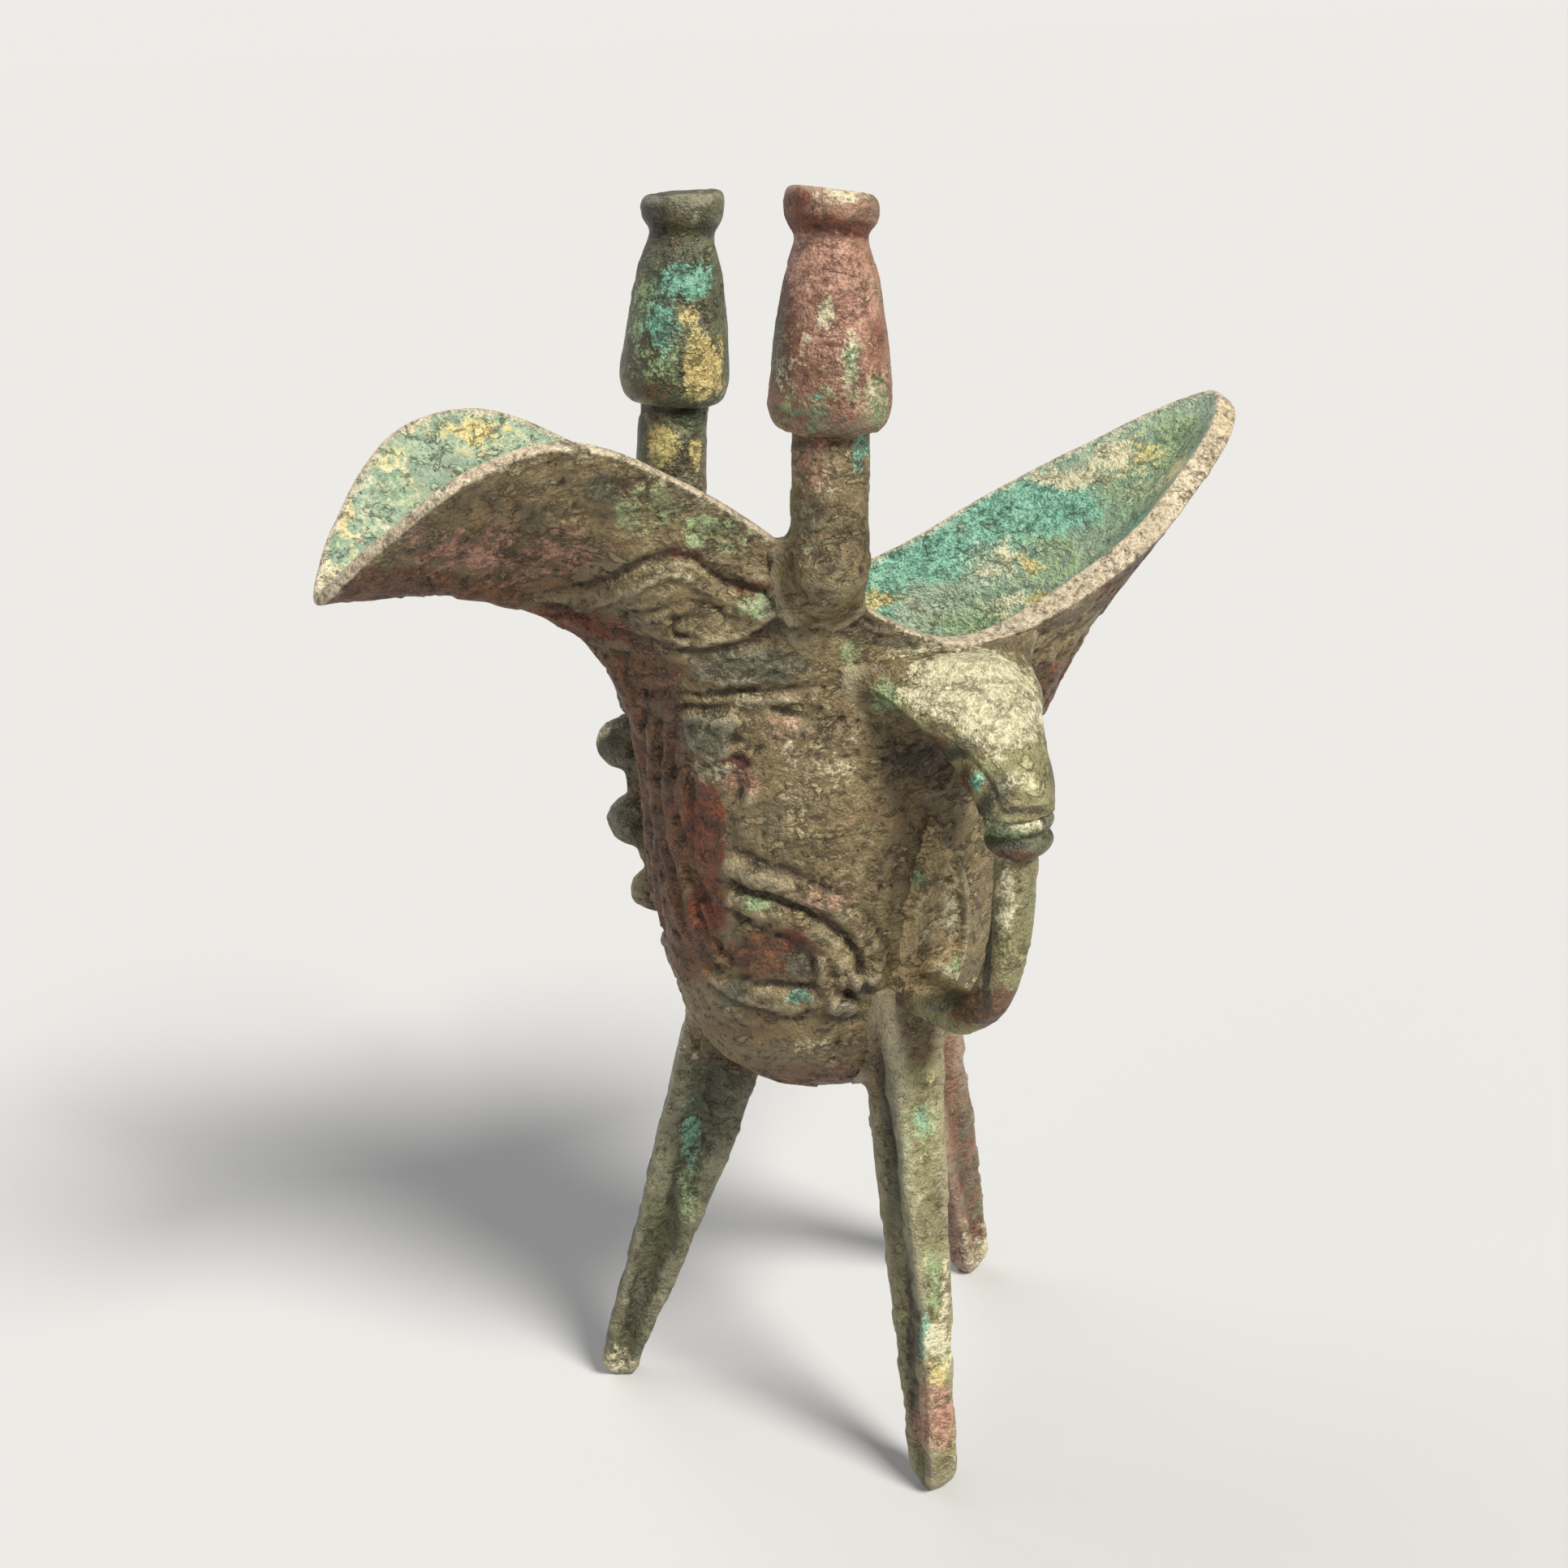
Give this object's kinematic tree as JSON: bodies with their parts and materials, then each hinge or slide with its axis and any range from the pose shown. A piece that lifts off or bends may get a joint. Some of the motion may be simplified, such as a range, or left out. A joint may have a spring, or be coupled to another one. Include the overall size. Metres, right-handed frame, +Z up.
{
  "type": "ritual bronze jue wine cup",
  "caption": "Ritual bronze wine cup with a pouring spout and a pointed tail, capped posts on the rim, blade legs under an oval bowl and a beast-head loop handle.",
  "frame": {"origin": "on the floor plane under the middle of the cup's own box", "axes": "+Z up; +X from the spout towards the tail; -Y towards the side with the handle"},
  "size_m": [0.1534, 0.0772, 0.1969],
  "materials": {
    "earth_patina": "corroded bronze, rough and mineral-encrusted",
    "red_patina": "corroded bronze, rough and mineral-encrusted",
    "green_patina": "corroded bronze, rough and mineral-encrusted",
    "pale_green_patina": "corroded bronze, rough and mineral-encrusted"
  },
  "bodies": {
    "root": {"vessel": "earth_patina", "leg_handle_side": "pale_green_patina", "leg_spout_side": "green_patina", "leg_tail_side": "red_patina", "post_near": "earth_patina", "post_far": "earth_patina", "post_cap_near": "red_patina", "post_cap_far": "green_patina", "handle_beast_head": "pale_green_patina", "handle_collar": "green_patina", "handle_strap": "pale_green_patina", "handle_leaf_seat": "earth_patina", "flange_spout_side": "green_patina", "flange_tail_side": "red_patina"}
  },
  "joints": []
}
